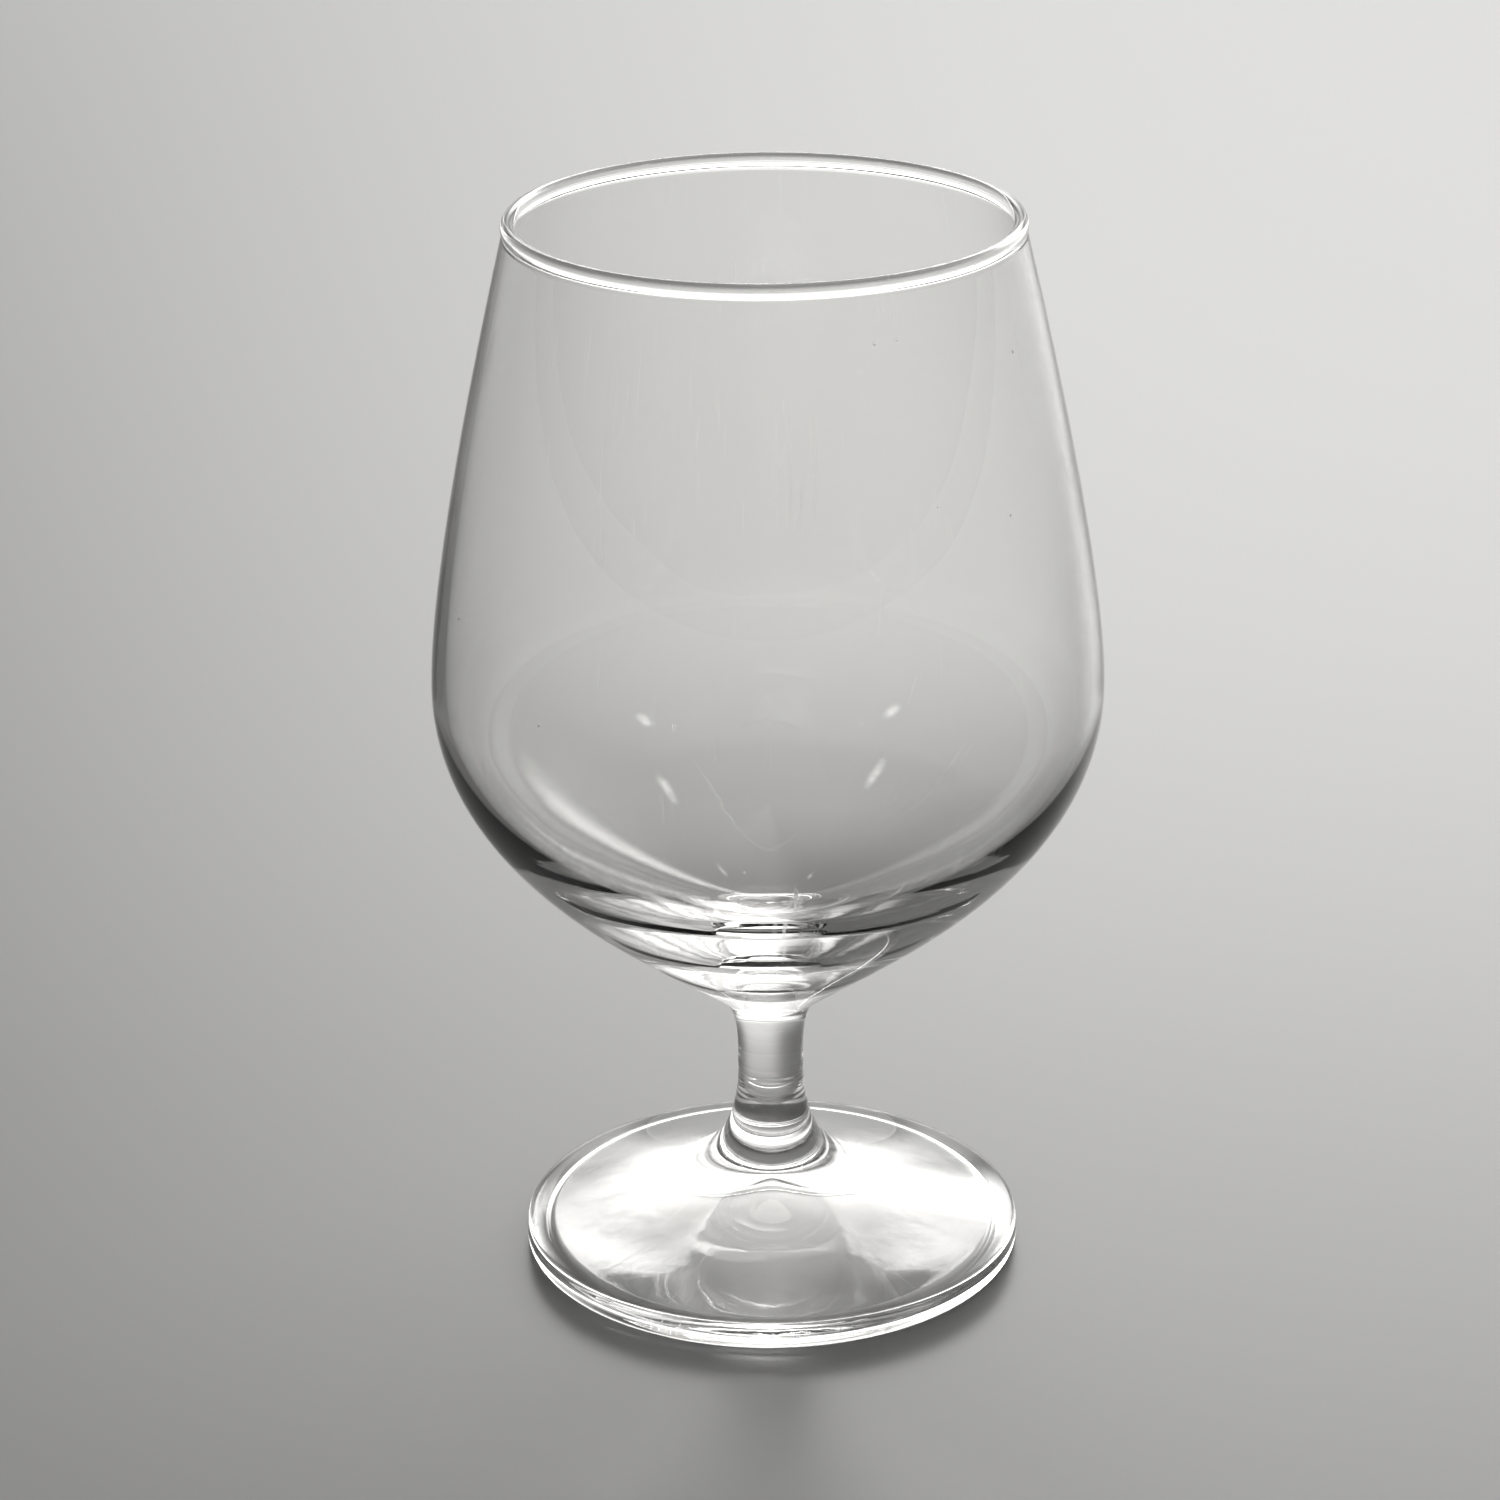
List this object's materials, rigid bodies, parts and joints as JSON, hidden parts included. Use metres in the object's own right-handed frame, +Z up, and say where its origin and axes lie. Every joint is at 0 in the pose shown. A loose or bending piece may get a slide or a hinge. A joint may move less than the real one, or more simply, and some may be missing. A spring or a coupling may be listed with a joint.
{
  "type": "sake glass",
  "caption": "Clear stemmed sake glass: a tulip bowl narrowing to a beaded rim, a short waisted stem and a hollow conical foot that stands on a flat ring.",
  "frame": {"origin": "on the glass's axis, at the plane of the table it stands on", "axes": "+Z up along the glass's axis, from the foot to the rim. +X and +Y are any two square directions, because the glass is round"},
  "size_m": [0.07, 0.07, 0.1144],
  "materials": {
    "bowl": "clear blown glass, fire-polished rim",
    "stem": "clear drawn glass, faint turned rings",
    "foot": "clear pressed glass, fire-polished edge"
  },
  "bodies": {
    "root": {"bowl": "bowl", "stem": "stem", "foot": "foot"}
  },
  "joints": []
}
